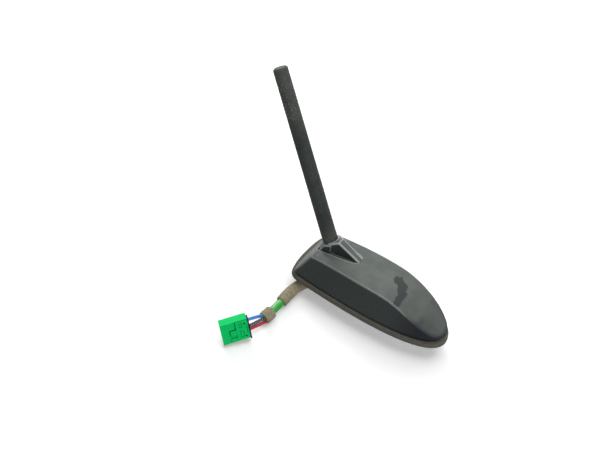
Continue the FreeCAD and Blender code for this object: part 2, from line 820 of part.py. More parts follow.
def harness():
    jacket, flange = number("jacket_dia"), number("grommet_flange")
    outside = lead_exit()
    inside = outside + V(number("duct_wall"), 0, 0)
    route = [inside] + [V(x, y, outside.z) for x, y in LEAD_ROUTE]
    path = rounded_path(route)
    lead = tube(path, jacket)
    print("lead length %.1f, volume over section times length %.4f"
          % (path.Length, lead.Volume / (path.Length * math.pi * jacket ** 2 / 4)))
    keep_shape(lead, "green_lead")
    sleeve_path = Part.Wire(path.Edges[SLEEVE_EDGES])
    keep_shape(tube(sleeve_path, number("sleeve_dia"), jacket), "foam_sleeve")
    end = route[-1]
    heading = V(end - route[-2]).normalize()
    keep_shape(rod(end - heading * number("ring_length"), end, number("ring_dia"), jacket), "tape_ring")
    grommet = rod(outside - V(flange, 0, 0), outside, number("grommet_flange_dia"), jacket)
    grommet = grommet.fuse(rod(outside, inside, number("jacket_dia + 2 * grommet_neck"), jacket))
    keep_shape(grommet.removeSplitter(), "cable_grommet")
    inner_leads(inside)
    outer_leads(end, heading)


def inner_leads(start):
    rise_x = start.x + number("duct_length / 2")
    leads = []
    for side in (-1, 0, 1):
        y = side * number("lead_pitch")
        path = rounded_path([V(start.x, y, start.z), V(rise_x, y, start.z), V(rise_x, y, BOARD_LOW)])
        leads.append(tube(path, number("lead_dia")))
    keep_shape(Part.makeCompound(leads), "inner_leads")


END_TRIM = 4


def lead_solid(end, heading, place, height):
    slant = V(heading.y, -heading.x, 1).normalize()
    start = end + slant * (place * number("lead_pitch"))
    plug = plug_placement()
    target = plug.multVec(V(0, -number("lead_depth"), height * number("plug_height")))
    thick = number("lead_dia")
    over = V(target - start).normalize() * thick
    lead = rod(start - over, target + over, thick)
    for spot, way in ((start, heading * -thick), (target, plug.Rotation.multVec(V(thick, 0, 0)))):
        lead = lead.cut(rod(spot, spot + way * END_TRIM, thick * END_TRIM))
    return lead


def outer_leads(end, heading):
    leads = []
    for label, place, height in LEADS:
        leads.append(lead_solid(end, heading, place, height))
        keep_shape(leads[-1], label)
    retainer(leads)


# Connector, drawn in its own frame: X from the wire end to the mating end, Z up its height

def plug_placement():
    corner = V(number("plug_ahead"), number("plug_side"), number("plug_lift") + FLOOR)
    turn = FreeCAD.Rotation(number("plug_yaw"), number("plug_pitch"), number("plug_lean"))
    return FreeCAD.Placement(corner, turn)


def retainer(leads):
    proud = number("retainer_proud")
    plate = box_between(-number("retainer_thick"), 0, -number("retainer_depth"),
                        number("plug_rear_step") + proud, -proud, number("plug_height") + proud)
    plate.Placement = plug_placement()
    for lead in leads:
        plate = plate.cut(lead)
    keep_shape(plate, "connector_retainer")


def plug_grooves(body):
    around = new_sketch(body, "XZ_Plane")
    draw_box(around, "plug_rear_length", "plug_rear_length + plug_latch_length + plug_groove",
             "plug_latch_low - plug_groove", "plug_latch_low + plug_latch_width + plug_groove")
    pocket(body, around, "plug_groove_depth", True)
    along = new_sketch(body, "XZ_Plane")
    draw_box(along, "plug_rear_length", "plug_rear_length + plug_groove",
             "plug_latch_low + plug_latch_width", "plug_height - plug_rear_margin")
    pocket(body, along, "plug_groove_depth", True)
    lines = new_sketch(body, "XZ_Plane", "-plug_rear_step")
    for part in ("frame", "panel"):
        back, low = "plug_%s_back" % part, "plug_%s_low" % part
        front, high = "%s + plug_%s_length" % (back, part), "%s + plug_%s_width" % (low, part)
        draw_box(lines, back, front, low, high)
        draw_box(lines, back + " + plug_line", front + " - plug_line",
                 low + " + plug_line", high + " - plug_line")
    draw_box(lines, "plug_rib_back", "plug_rib_back + plug_line", "plug_rib_low", "plug_rib_low + plug_rib_width")
    pocket(body, lines, "plug_line_depth", True)


def connector_housing():
    body = new_body("connector_housing")
    block = new_sketch(body, "XZ_Plane")
    draw_box(block, "0", "plug_length", "0", "plug_height")
    pad(body, block, "plug_thick")
    rear = new_sketch(body, "XZ_Plane")
    draw_box(rear, "0", "plug_rear_length", "plug_rear_margin", "plug_height - plug_rear_margin")
    pad(body, rear, "plug_rear_step", True)
    plug_grooves(body)
    for part in ("latch", "block"):
        raised = new_sketch(body, "XZ_Plane", "plug_groove_depth")
        draw_box(raised, "plug_rear_length", "plug_rear_length + plug_%s_length" % part,
                 "plug_%s_low" % part, "plug_%s_low + plug_%s_width" % (part, part))
        pad(body, raised, "plug_%s_rise + plug_groove_depth" % part, True)
    cavities = new_sketch(body, "YZ_Plane")
    for height in LEAD_HEIGHTS:
        middle = "%s * plug_height" % height
        draw_box(cavities, "-lead_depth - terminal_thick / 2 - terminal_gap",
                 "-lead_depth + terminal_thick / 2 + terminal_gap",
                 middle + " - terminal_width / 2 - terminal_gap",
                 middle + " + terminal_width / 2 + terminal_gap")
    pocket(body, cavities, "plug_length", True)
    holes = new_sketch(body, "XZ_Plane", "-plug_rear_step")
    for middle in ("plug_hole_inset", "plug_height - plug_hole_inset"):
        draw_box(holes, "plug_hole_back - plug_hole / 2", "plug_hole_back + plug_hole / 2",
                 middle + " - plug_hole / 2", middle + " + plug_hole / 2")
    pocket(body, holes, "plug_wall + plug_rear_step", True)
    keep(body, "connector_housing", plug_placement())


def connector_terminals():
    tabs = []
    back = -number("lead_depth")
    for height in LEAD_HEIGHTS:
        middle = height * number("plug_height")
        half, thick = number("terminal_width / 2"), number("terminal_thick / 2")
        tabs.append(box_between(0, number("terminal_length"), back - thick, back + thick,
                                middle - half, middle + half))
    keep_shape(Part.makeCompound(tabs), "connector_terminals", plug_placement())


def build():
    housing()
    perimeter_gasket()
    base_plate()
    clamp_spigot()
    spigot_seal()
    base_screws()
    circuit_board()
    board_screws()
    board_parts()
    mast_pieces()
    contact_spring()
    harness()
    connector_housing()
    connector_terminals()


def check_and_write():
    doc.recompute()
    for thing in doc.Objects:
        if "Invalid" in thing.State or "Error" in thing.State:
            raise RuntimeError("%s failed: %s" % (thing.Name, thing.State))
    for piece in pieces:
        if piece.Shape.isNull() or not piece.Shape.isValid():
            raise RuntimeError("bad shape: " + piece.Label)
    os.makedirs("parts", exist_ok=True)
    for piece in pieces:
        piece.Shape.exportStep("parts/%s.step" % piece.Label)
        print("%s: %d solids, %.1f cubic mm" % (piece.Label, len(piece.Shape.Solids), piece.Shape.Volume))


build()
check_and_write()
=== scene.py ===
import math

import bmesh
import bpy
from mathutils import Matrix, Vector, noise


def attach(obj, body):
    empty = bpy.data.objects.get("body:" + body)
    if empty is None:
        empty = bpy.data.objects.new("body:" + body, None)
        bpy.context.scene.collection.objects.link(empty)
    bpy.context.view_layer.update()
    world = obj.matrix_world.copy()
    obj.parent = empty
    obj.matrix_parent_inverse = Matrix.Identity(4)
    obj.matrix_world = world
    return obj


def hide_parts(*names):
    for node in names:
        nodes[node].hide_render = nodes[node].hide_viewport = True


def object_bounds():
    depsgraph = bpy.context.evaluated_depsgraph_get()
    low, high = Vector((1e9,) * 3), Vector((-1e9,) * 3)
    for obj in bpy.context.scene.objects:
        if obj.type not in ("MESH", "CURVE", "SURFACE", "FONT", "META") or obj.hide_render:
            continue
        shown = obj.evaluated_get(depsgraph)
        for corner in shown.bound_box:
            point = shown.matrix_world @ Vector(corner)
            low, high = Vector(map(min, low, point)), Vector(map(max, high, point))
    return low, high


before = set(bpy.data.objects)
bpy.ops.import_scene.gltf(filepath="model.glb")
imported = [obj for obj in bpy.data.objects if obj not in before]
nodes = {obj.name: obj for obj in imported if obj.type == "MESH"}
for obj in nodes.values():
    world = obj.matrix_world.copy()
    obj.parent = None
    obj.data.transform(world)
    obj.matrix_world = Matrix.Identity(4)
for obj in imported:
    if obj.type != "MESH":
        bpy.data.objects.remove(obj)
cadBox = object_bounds()
mmPerMetre = 1000.0
print("frame loaded:", len(nodes), "nodes")


def addObject(name, data):
    thing = bpy.data.objects.new(name, data)
    bpy.context.scene.collection.objects.link(thing)
    return thing


# camera, stood where the photo was taken from
cameraView = {"place": (0.05662, -0.21172, 0.29042), "azimuth": 31.35, "elevation": 46.65, "roll": 7.39,
              "lens": 27.0, "sensor": 36.0}


def placeCamera(view):
    azimuth, elevation, roll = (math.radians(view[key]) for key in ("azimuth", "elevation", "roll"))
    right = Vector((math.cos(azimuth), math.sin(azimuth), 0.0))
    back = Vector((math.sin(azimuth) * math.cos(elevation), -math.cos(azimuth) * math.cos(elevation),
                   math.sin(elevation)))
    up = back.cross(right)
    rolledRight = right * math.cos(roll) + up * math.sin(roll)
    rolledUp = up * math.cos(roll) - right * math.sin(roll)
    data = bpy.data.cameras.new("photoCamera")
    data.lens = view["lens"]
    data.sensor_width = view["sensor"]
    camera = addObject("photoCamera", data)
    turn = Matrix((rolledRight, rolledUp, back)).transposed().to_4x4()
    camera.matrix_world = Matrix.Translation(view["place"]) @ turn
    bpy.context.scene.camera = camera


placeCamera(cameraView)
print("camera placed")


# small helpers for node trees
def addNode(tree, kind, **values):
    node = tree.nodes.new(kind)
    for name, value in values.items():
        if name in node.inputs:
            node.inputs[name].default_value = value
        else:
            setattr(node, name, value)
    return node


# another node's output is linked, a plain value is set on the socket
def feed(tree, socket, value):
    if hasattr(value, "is_output"):
        tree.links.new(value, socket)
    else:
        socket.default_value = value


def calc(tree, operation, *values, clamp=False):
    node = addNode(tree, "ShaderNodeMath", operation=operation, use_clamp=clamp)
    for socket, value in zip(node.inputs, values):
        feed(tree, socket, value)
    return node.outputs[0]


def vectorCalc(tree, operation, first, second=None):
    node = addNode(tree, "ShaderNodeVectorMath", operation=operation)
    feed(tree, node.inputs[0], first)
    if second is not None:
        feed(tree, node.inputs["Scale" if operation == "SCALE" else 1], second)
    return node.outputs["Value" if operation in ("DOT_PRODUCT", "LENGTH") else "Vector"]


def opaque(color):
    return (*color, 1.0)


# a Mix node has its colours on sockets 6 and 7, and the mixed colour on output 2
def mixColor(tree, factor, first, second):
    node = addNode(tree, "ShaderNodeMix", data_type="RGBA")
    for index, value in ((0, factor), (6, first), (7, second)):
        feed(tree, node.inputs[index], opaque(value) if isinstance(value, tuple) else value)
    return node.outputs[2]


def layOver(tree, color, mask, amount, over):
    return mixColor(tree, calc(tree, "MULTIPLY", mask, amount), color, over)


def remap(tree, value, low, high, toLow=0.0, toHigh=1.0):
    node = addNode(tree, "ShaderNodeMapRange", interpolation_type="SMOOTHSTEP")
    for socket, number in zip(node.inputs, (value, low, high, toLow, toHigh)):
        feed(tree, socket, number)
    return node.outputs[0]


def between(tree, mask, least, most):
    return remap(tree, mask, 0.0, 1.0, least, most)


def objectPlace(tree):
    return addNode(tree, "ShaderNodeTexCoord").outputs["Object"]


def splitAxes(tree, vector):
    node = addNode(tree, "ShaderNodeSeparateXYZ")
    tree.links.new(vector, node.inputs[0])
    return node.outputs


def cloud(tree, place, sizeMm, texture):
    node = addNode(tree, "ShaderNodeTexNoise", **texture)
    tree.links.new(place, node.inputs["Vector"])
    tree.links.new(calc(tree, "DIVIDE", mmPerMetre, sizeMm), node.inputs["Scale"])
    return node.outputs["Fac"]


def newGroup(name, inputs, outputs):
    group = bpy.data.node_groups.new(name, "ShaderNodeTree")
    for label, kind, value in inputs:
        socket = group.interface.new_socket(label, in_out="INPUT", socket_type="NodeSocket" + kind)
        socket.default_value = value
    for label in outputs:
        group.interface.new_socket(label, in_out="OUTPUT", socket_type="NodeSocketFloat")
    return group, group.nodes.new("NodeGroupInput").outputs, group.nodes.new("NodeGroupOutput").inputs


# fine grain of moulded plastic and rubber: a height for bump and a slow mottle for colour
grainTexture = {"fine": {"Detail": 3.0, "Roughness": 0.6}, "slow": {"Detail": 4.0, "Roughness": 0.55},
                "mottle": (0.3, 0.7)}


def buildGrainGroup(texture):
    group, given, result = newGroup(
        "mouldGrain", [("Size mm", "Float", 0.3), ("Mottle mm", "Float", 9.0)], ["Height", "Mottle"])
    place = objectPlace(group)
    fine = cloud(group, place, given["Size mm"], texture["fine"])
    slow = cloud(group, place, given["Mottle mm"], texture["slow"])
    group.links.new(fine, result["Height"])
    group.links.new(remap(group, slow, *texture["mottle"]), result["Mottle"])
    return group


# dust that settles on faces turned up, with a ragged edge
dustTexture = {"cloud": {"Detail": 6.0, "Roughness": 0.65}, "ragged": (0.35, 0.72), "slope": (0.2, 1.0)}


def buildDustGroup(texture):
    group, given, result = newGroup(
        "settledDust", [("Amount", "Float", 0.5), ("Patch mm", "Float", 6.0)], ["Mask"])
    normal = addNode(group, "ShaderNodeNewGeometry").outputs["Normal"]
    up = remap(group, splitAxes(group, normal)["Z"], *texture["slope"])
    patches = cloud(group, objectPlace(group), given["Patch mm"], texture["cloud"])
    settled = calc(group, "MULTIPLY", up, remap(group, patches, *texture["ragged"]))
    group.links.new(calc(group, "MULTIPLY", settled, given["Amount"], clamp=True), result["Mask"])
    return group


# a soft stroke from one point to another, with a ragged edge: smudges, scuffed corners, a dirty foot
strokeTexture = {"Detail": 4.0, "Roughness": 0.6}


def buildStrokeGroup(texture):
    group, given, result = newGroup(
        "softStroke",
        [("From", "Vector", (0.0, 0.0, 0.0)), ("To", "Vector", (0.0, 0.0, 0.01)),
         ("Radius mm", "Float", 3.0), ("Ragged", "Float", 0.4), ("Patch mm", "Float", 3.0),
         ("Edge", "Float", 0.3)],
        ["Mask"])
    place = objectPlace(group)
    offset = vectorCalc(group, "SUBTRACT", place, given["From"])
    run = vectorCalc(group, "SUBTRACT", given["To"], given["From"])
    along = calc(group, "DIVIDE", vectorCalc(group, "DOT_PRODUCT", offset, run),
                 vectorCalc(group, "DOT_PRODUCT", run, run), clamp=True)
    nearest = vectorCalc(group, "SCALE", run, along)
    away = vectorCalc(group, "LENGTH", vectorCalc(group, "SUBTRACT", offset, nearest))
    ratio = calc(group, "DIVIDE", away, calc(group, "DIVIDE", given["Radius mm"], mmPerMetre))
    # noise runs from 0 to 1, so it is centred and doubled
    centred = calc(group, "SUBTRACT", cloud(group, place, given["Patch mm"], texture), 0.5)
    wobble = calc(group, "MULTIPLY", centred, given["Ragged"])
    distance = calc(group, "MULTIPLY_ADD", wobble, 2.0, ratio)
    inner = calc(group, "SUBTRACT", 1.0, given["Edge"])
    outer = calc(group, "ADD", 1.0, given["Edge"])
    group.links.new(remap(group, distance, inner, outer, 1.0, 0.0), result["Mask"])
    return group


# rubbed flecks and specks: a larger share lowers the noise level that counts as one
fleckTexture = {"cloud": {"Detail": 5.0, "Roughness": 0.7}, "highest": 0.8, "perShare": 0.4, "fade": 0.1}


def buildFleckGroup(texture):
    group, given, result = newGroup(
        "rubbedFlecks", [("Size mm", "Float", 1.2), ("Share", "Float", 0.2)], ["Mask"])
    fleck = cloud(group, objectPlace(group), given["Size mm"], texture["cloud"])
    lowered = calc(group, "MULTIPLY", given["Share"], texture["perShare"])
    level = calc(group, "SUBTRACT", texture["highest"], lowered)
    full = calc(group, "ADD", level, texture["fade"])
    group.links.new(remap(group, fleck, level, full), result["Mask"])
    return group


# outer edges, where a ray into the wall soon comes out of another face, for a painted edge highlight, and
# corners that gather shade, for painted shade
edgeSearch = {"inside": True, "samples": 12, "range": (0.97, 0.84)}
cornerSearch = {"inside": False, "samples": 12, "range": (0.85, 0.35)}


def buildSearchGroup(name, search):
    group, given, result = newGroup(name, [("Reach mm", "Float", 1.0)], ["Mask"])
    rays = addNode(group, "ShaderNodeAmbientOcclusion", inside=search["inside"], only_local=True,
                   samples=search["samples"])
    group.links.new(calc(group, "DIVIDE", given["Reach mm"], mmPerMetre), rays.inputs["Distance"])
    group.links.new(remap(group, rays.outputs["AO"], *search["range"]), result["Mask"])
    return group


grainGroup = buildGrainGroup(grainTexture)
dustGroup = buildDustGroup(dustTexture)
strokeGroup = buildStrokeGroup(strokeTexture)
fleckGroup = buildFleckGroup(fleckTexture)
edgeGroup = buildSearchGroup("edgeHighlights", edgeSearch)
cornerGroup = buildSearchGroup("shadedCorners", cornerSearch)
print("shader groups built")


# helpers for materials; a group's settings are named as its sockets are
def useGroup(tree, group, settings):
    node = addNode(tree, "ShaderNodeGroup", node_tree=group)
    for name, value in settings.items():
        node.inputs[name].default_value = value
    return node.outputs


def maskOf(tree, group, settings):
    return useGroup(tree, group, settings)["Mask"]


def newMaterial(name, roughness, metallic=0.0, specular=0.5):
    material = bpy.data.materials.new(name)
    material.use_nodes = True
    tree = material.node_tree
    shader = tree.nodes["Principled BSDF"]
    shader.inputs["Roughness"].default_value = roughness
    shader.inputs["Metallic"].default_value = metallic
    shader.inputs["Specular IOR Level"].default_value = specular
    return material, tree, shader


def softNormal(tree, radius, samples=6):
    node = addNode(tree, "ShaderNodeBevel", samples=samples)
    feed(tree, node.inputs["Radius"], radius)
    return node.outputs["Normal"]


def addBump(tree, shader, height, bump, normal=None):
    depth = bump["depthMm"] / mmPerMetre
    node = addNode(tree, "ShaderNodeBump", Strength=bump["strength"], Distance=depth)
    tree.links.new(height, node.inputs["Height"])
    if normal is not None:
        tree.links.new(normal, node.inputs["Normal"])
    tree.links.new(node.outputs["Normal"], shader.inputs["Normal"])


def dress(name, material):
    mesh = nodes[name].data
    mesh.materials.clear()
    mesh.materials.append(material)


# housing: dull black moulding, greyed on top partly by dust and partly by painted light, with a painted
# highlight on the rear face and along its edges, painted shade on the nose's lower sides, and a damp
# smudge near the nose
housingLook = {
    "base": (0.016, 0.0205, 0.0205), "dust": (0.126, 0.142, 0.131), "nose": (0.007, 0.008, 0.013),
    "roughness": 0.5, "noseRoughness": 0.78, "specular": 0.2,
    "grain": {"Size mm": 0.4, "Mottle mm": 12.0}, "bump": {"strength": 0.4, "depthMm": 0.06},
    "noseReach": (0.018, 0.052),  # stretch of x in which the rear's finish becomes the nose's
    "edgeRadius": (0.0007, 0.006), "edgeSamples": 8,  # softened edge at the rear and at the nose
    # slopes are ranges of the normal: its z for nose and top, its x for the rear
    "noseSlope": (0.85, 0.55), "topSlope": (0.62, 0.97), "rearSlope": (-0.35, -0.75),
    "veil": (0.68, 0.88), "speckle": (0.4, 0.7, 0.0, 0.22),
    "wearAndEdgeHighlight": {"Reach mm": 1.5}, "edgeHighlightColor": (0.4, 0.425, 0.415),
    "edgeHighlightAmount": (0.9, 0.05),  # at the rear and at the nose
    "edgeHighlightHeight": (0.008, 0.013),  # stretch of z, above the skirt, in which the painted edge highlight sets in
    "smudge": [{"From": (0.0160, 0.0022, 0.030), "To": (0.0205, 0.0005, 0.030), "Radius mm": 3.9},
               {"From": (0.0215, -0.0020, 0.029), "To": (0.0238, -0.0052, 0.028), "Radius mm": 3.7},
               {"From": (0.0238, -0.0052, 0.028), "To": (0.0240, -0.0140, 0.026), "Radius mm": 2.7}],
    "smudgeEdge": {"Ragged": 0.85, "Patch mm": 3.2, "Edge": 0.16},
    "smudgeColor": (0.036, 0.042, 0.042), "smudgeAmount": 0.95, "smudgeDull": 0.5,
    "scuff": {"From": (-0.0480, -0.0130, 0.0220), "To": (-0.0440, -0.0105, 0.0235), "Radius mm": 3.0,
              "Ragged": 0.8, "Patch mm": 2.0, "Edge": 0.5},
    "scuffFlecks": {"Size mm": 1.4, "Share": 0.75}, "scuffColor": (0.22, 0.235, 0.23), "scuffAmount": 0.6,
    "specks": {"Size mm": 0.9, "Share": 0.1}, "speckAmount": 0.3}


def housingMaterial(look):
    material, tree, shader = newMaterial("grainedHousing", look["roughness"], specular=look["specular"])
    grain = useGroup(tree, grainGroup, look["grain"])
    place = splitAxes(tree, objectPlace(tree))
    nose = remap(tree, place["X"], *look["noseReach"])
    radius = remap(tree, place["X"], *look["noseReach"], *look["edgeRadius"])
    soft = softNormal(tree, radius, look["edgeSamples"])
    facing = splitAxes(tree, soft)
    # painted shade: near the nose, sides turned away from up are darkened to the nose colour
    paintedNoseShade = calc(tree, "MULTIPLY", nose, remap(tree, facing["Z"], *look["noseSlope"]))
    # the top is paler partly from dust and partly as painted light, and the rear face is paler as a
    # painted highlight
    dustAndPaintedLight = calc(tree, "MAXIMUM", remap(tree, facing["Z"], *look["topSlope"]),
                     remap(tree, facing["X"], *look["rearSlope"]))
    veil = calc(tree, "MULTIPLY", dustAndPaintedLight, between(tree, grain["Mottle"], *look["veil"]))
    color = mixColor(tree, veil, look["base"], look["dust"])
    color = mixColor(tree, remap(tree, grain["Height"], *look["speckle"]), color, look["dust"])
    color = mixColor(tree, paintedNoseShade, color, look["nose"])
    strokes = [maskOf(tree, strokeGroup, {**mark, **look["smudgeEdge"]}) for mark in look["smudge"]]
    smudge = strokes[0]
    for stroke in strokes[1:]:
        smudge = calc(tree, "MAXIMUM", smudge, stroke)
    color = layOver(tree, color, smudge, look["smudgeAmount"], look["smudgeColor"])
    scuffed = calc(tree, "MULTIPLY", maskOf(tree, strokeGroup, look["scuff"]),
                   maskOf(tree, fleckGroup, look["scuffFlecks"]))
    color = layOver(tree, color, scuffed, look["scuffAmount"], look["scuffColor"])
    specks = maskOf(tree, fleckGroup, look["specks"])
    color = layOver(tree, color, specks, look["speckAmount"], look["scuffColor"])
    # painted highlight: outer edges above the skirt are lightened as if they caught the light, strongly at
    # the rear and hardly at the nose
    wearAndHighlightMask = calc(tree, "MULTIPLY", maskOf(tree, edgeGroup, look["wearAndEdgeHighlight"]),
                  between(tree, nose, *look["edgeHighlightAmount"]))
    wearAndHighlightMask = calc(tree, "MULTIPLY", wearAndHighlightMask, remap(tree, place["Z"], *look["edgeHighlightHeight"]))
    color = mixColor(tree, wearAndHighlightMask, color, look["edgeHighlightColor"])
    tree.links.new(color, shader.inputs["Base Color"])
    dull = calc(tree, "MAXIMUM", calc(tree, "MULTIPLY", smudge, look["smudgeDull"]), paintedNoseShade)
    roughness = between(tree, dull, look["roughness"], look["noseRoughness"])
    tree.links.new(roughness, shader.inputs["Roughness"])
    addBump(tree, shader, grain["Height"], look["bump"], soft)
    return material


dress("housing", housingMaterial(housingLook))
print("housing dressed")


# rubber and plain plastic: mottled, with a little dust on top
rubberFinish = {"specular": 0.1, "mottleMm": 7.0, "patchMm": 5.0, "darkShare": 0.6, "mottle": (0.75, 1.0),
                "bump": {"strength": 0.3, "depthMm": 0.08}, "edgeRadius": 0.0005}


def rubberMaterial(name, look):
    finish = rubberFinish
    material, tree, shader = newMaterial(name, look["roughness"], specular=finish["specular"])
    grain = useGroup(tree, grainGroup, {"Size mm": look["grainMm"], "Mottle mm": finish["mottleMm"]})
    dust = maskOf(tree, dustGroup, {"Amount": look["dustAmount"], "Patch mm": finish["patchMm"]})
    dark = tuple(finish["darkShare"] * part for part in look["color"])
    color = mixColor(tree, between(tree, grain["Mottle"], *finish["mottle"]), dark, look["color"])
    color = mixColor(tree, dust, color, look["dust"])
    tree.links.new(color, shader.inputs["Base Color"])
    addBump(tree, shader, grain["Height"], finish["bump"], softNormal(tree, finish["edgeRadius"]))
    return material


# gasket: brown-grey rubber, dusty along its step
gasketLook = {"color": (0.118, 0.112, 0.094), "dust": (0.19, 0.181, 0.152), "roughness": 0.75,
              "dustAmount": 0.5, "grainMm": 0.6}
dress("perimeter_gasket", rubberMaterial("dustyGasket", gasketLook))


# mast: dull rubber skin, paler towards the tip, dirty and flecked at the foot
mastLook = {
    "skin": (0.031, 0.036, 0.036), "wearAndEdgeHighlight": (0.084, 0.092, 0.082), "dirt": (0.2, 0.165, 0.11),
    "fleck": (0.24, 0.245, 0.22), "roughness": 0.62, "specular": 0.1,
    "grain": {"Size mm": 0.5, "Mottle mm": 10.0}, "mottleAmount": 0.3,
    "bump": {"strength": 0.5, "depthMm": 0.08}, "edgeRadius": 0.0004,
    "tip": {"From": (-0.0900, 0.0, 0.1275), "To": (-0.1018, 0.0, 0.1517), "Radius mm": 14.0,
            "Ragged": 0.5, "Patch mm": 8.0, "Edge": 0.7},
    "foot": {"From": (-0.0431, 0.0, 0.0313), "To": (-0.0451, 0.0, 0.0353), "Radius mm": 8.0,
             "Ragged": 0.7, "Patch mm": 2.5, "Edge": 0.5},
    "rub": {"From": (-0.0890, -0.0040, 0.1250), "To": (-0.0965, -0.0030, 0.1410), "Radius mm": 6.0,
            "Ragged": 0.7, "Patch mm": 2.5, "Edge": 0.6},
    "tipAmount": 0.5, "footAmount": 0.25, "rubAmount": 0.6, "dirtAmount": 0.8,
    "flecks": {"Size mm": 1.1, "Share": 0.68},
    "specks": {"Size mm": 0.9, "Share": 0.55}, "speckAmount": 0.3}


def mastMaterial(look):
    material, tree, shader = newMaterial("mastSkin", look["roughness"], specular=look["specular"])
    grain = useGroup(tree, grainGroup, look["grain"])
    tip, foot, rub = (maskOf(tree, strokeGroup, look[mark]) for mark in ("tip", "foot", "rub"))
    flecks = maskOf(tree, fleckGroup, look["flecks"])
    specks = maskOf(tree, fleckGroup, look["specks"])
    mottled = calc(tree, "MULTIPLY", grain["Mottle"], look["mottleAmount"])
    pale = calc(tree, "ADD", mottled, calc(tree, "MULTIPLY", tip, look["tipAmount"]), clamp=True)
    color = mixColor(tree, pale, look["skin"], look["wearAndEdgeHighlight"])
    wearAndHighlightMask = calc(tree, "MULTIPLY", rub, flecks)
    color = layOver(tree, color, wearAndHighlightMask, look["rubAmount"], look["fleck"])
    color = layOver(tree, color, foot, look["footAmount"], look["wearAndEdgeHighlight"])
    dirty = calc(tree, "MULTIPLY", foot, flecks)
    color = layOver(tree, color, dirty, look["dirtAmount"], look["dirt"])
    color = layOver(tree, color, specks, look["speckAmount"], look["fleck"])
    tree.links.new(color, shader.inputs["Base Color"])
    addBump(tree, shader, grain["Height"], look["bump"], softNormal(tree, look["edgeRadius"]))
    return material


dress("mast_sheath", mastMaterial(mastLook))
print("gasket and mast dressed")


# route of the harness, as in the part's source, in metres
leadRoute = {"points": [(-0.0146, 0.0), (-0.0250, 0.0), (-0.0380, -0.0056), (-0.0484, -0.0174),
                        (-0.0520, -0.0275), (-0.0527, -0.0400), (-0.0519, -0.0500), (-0.0532, -0.0664)],
             "level": -0.0097, "diameter": 0.0066, "length": 0.0895,
             "order": 3, "stepsAlong": 16, "stepsRound": 8}


def makeLead(route):
    curve = bpy.data.curves.new("greenLead", "CURVE")
    curve.dimensions = "3D"
    spline = curve.splines.new("NURBS")
    spline.points.add(len(route["points"]) - 1)
    for point, (x, y) in zip(spline.points, route["points"]):
        point.co = (x, y, route["level"], 1.0)
    spline.order_u = route["order"]
    spline.use_endpoint_u = True
    spline.resolution_u = route["stepsAlong"]
    curve.bevel_depth = route["diameter"] / 2
    curve.bevel_resolution = route["stepsRound"]
    curve.use_fill_caps = True
    return addObject("greenLead", curve)


# the middle line, from a copy of the lead without its thickness
def splinePoints(lead):
    plain = lead.copy()
    plain.data = lead.data.copy()
    plain.data.bevel_depth = 0.0
    bpy.context.scene.collection.objects.link(plain)
    bpy.context.view_layer.update()
    mesh = bpy.data.meshes.new_from_object(plain)
    points = [vertex.co.copy() for vertex in mesh.vertices]
    bpy.data.objects.remove(plain)
    bpy.data.meshes.remove(mesh)
    return points


greenLead = makeLead(leadRoute)
leadPoints = splinePoints(greenLead)
leadLength = sum((after - before).length for before, after in zip(leadPoints, leadPoints[1:]))
print("green lead: %.1f mm along its spline" % (mmPerMetre * leadLength))


# green jacket: shiny smooth film
leadLook = {"green": (0.012, 0.33, 0.022), "deep": (0.006, 0.24, 0.016), "roughness": 0.5, "specular": 0.1,
            "coat": 0.8, "coatRoughness": 0.04, "grain": {"Size mm": 1.5, "Mottle mm": 5.0},
            "mottleAmount": 0.35, "bump": {"strength": 0.04, "depthMm": 0.05}}


def jacketMaterial(look):
    material, tree, shader = newMaterial("greenJacket", look["roughness"], specular=look["specular"])
    shader.inputs["Coat Weight"].default_value = look["coat"]
    shader.inputs["Coat Roughness"].default_value = look["coatRoughness"]
    grain = useGroup(tree, grainGroup, look["grain"])
    color = layOver(tree, look["green"], grain["Mottle"], look["mottleAmount"], look["deep"])
    tree.links.new(color, shader.inputs["Base Color"])
    addBump(tree, shader, grain["Height"], look["bump"])
    return material


greenLead.data.materials.append(jacketMaterial(leadLook))
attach(greenLead, "root")
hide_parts("green_lead")


# felt sleeve and ring, which follow the lead's own spline, in metres along it
feltSurface = {"around": 56, "endDrop": 0.6, "wavesPerMetre": 420, "middle": 0.6,
               "roughening": (0.8, 2.0, 4)}  # fractal noise: exponent, step in scale, octaves
clearance = 0.0001
feltBore = leadRoute["diameter"] / 2 + clearance
sleeveSize = {"start": 0.0058, "end": 0.0690, "steps": 120, "inner": feltBore, "outer": 0.00485,
              "ruffle": 0.00022, "endRound": 0.0012, "seed": 3.0}
ringLength = 0.0086
ringSize = {"start": leadLength - ringLength, "end": leadLength, "steps": 28, "inner": feltBore,
            "outer": 0.0052, "ruffle": 0.0002, "endRound": 0.0009, "seed": 11.0}
nearlyNothing = 1e-9


def alongSpline(points, start, end, count):
    lengths = [0.0]
    for before, after in zip(points, points[1:]):
        lengths.append(lengths[-1] + (after - before).length)
    spots = []
    for step in range(count):
        target = start + (end - start) * step / (count - 1)
        index = max(i for i in range(len(lengths) - 1) if lengths[i] <= target + nearlyNothing)
        share = (target - lengths[index]) / (lengths[index + 1] - lengths[index])
        heading = (points[index + 1] - points[index]).normalized()
        spots.append((points[index].lerp(points[index + 1], min(share, 1.0)), heading))
    return spots


# out along the outer wall with its rounded ends, and back along the bore
def feltProfile(spots, size):
    last = len(spots) - 1
    stepLength = (spots[1][0] - spots[0][0]).length
    profile = []
    for step in range(last + 1):
        fromEnd = min(step, last - step) * stepLength
        drop = size["endRound"] * (1 - min(fromEnd / size["endRound"], 1.0)) ** 2
        profile.append((step, size["outer"] - drop * feltSurface["endDrop"]))
    return profile + [(step, size["inner"]) for step in range(last, -1, -1)]


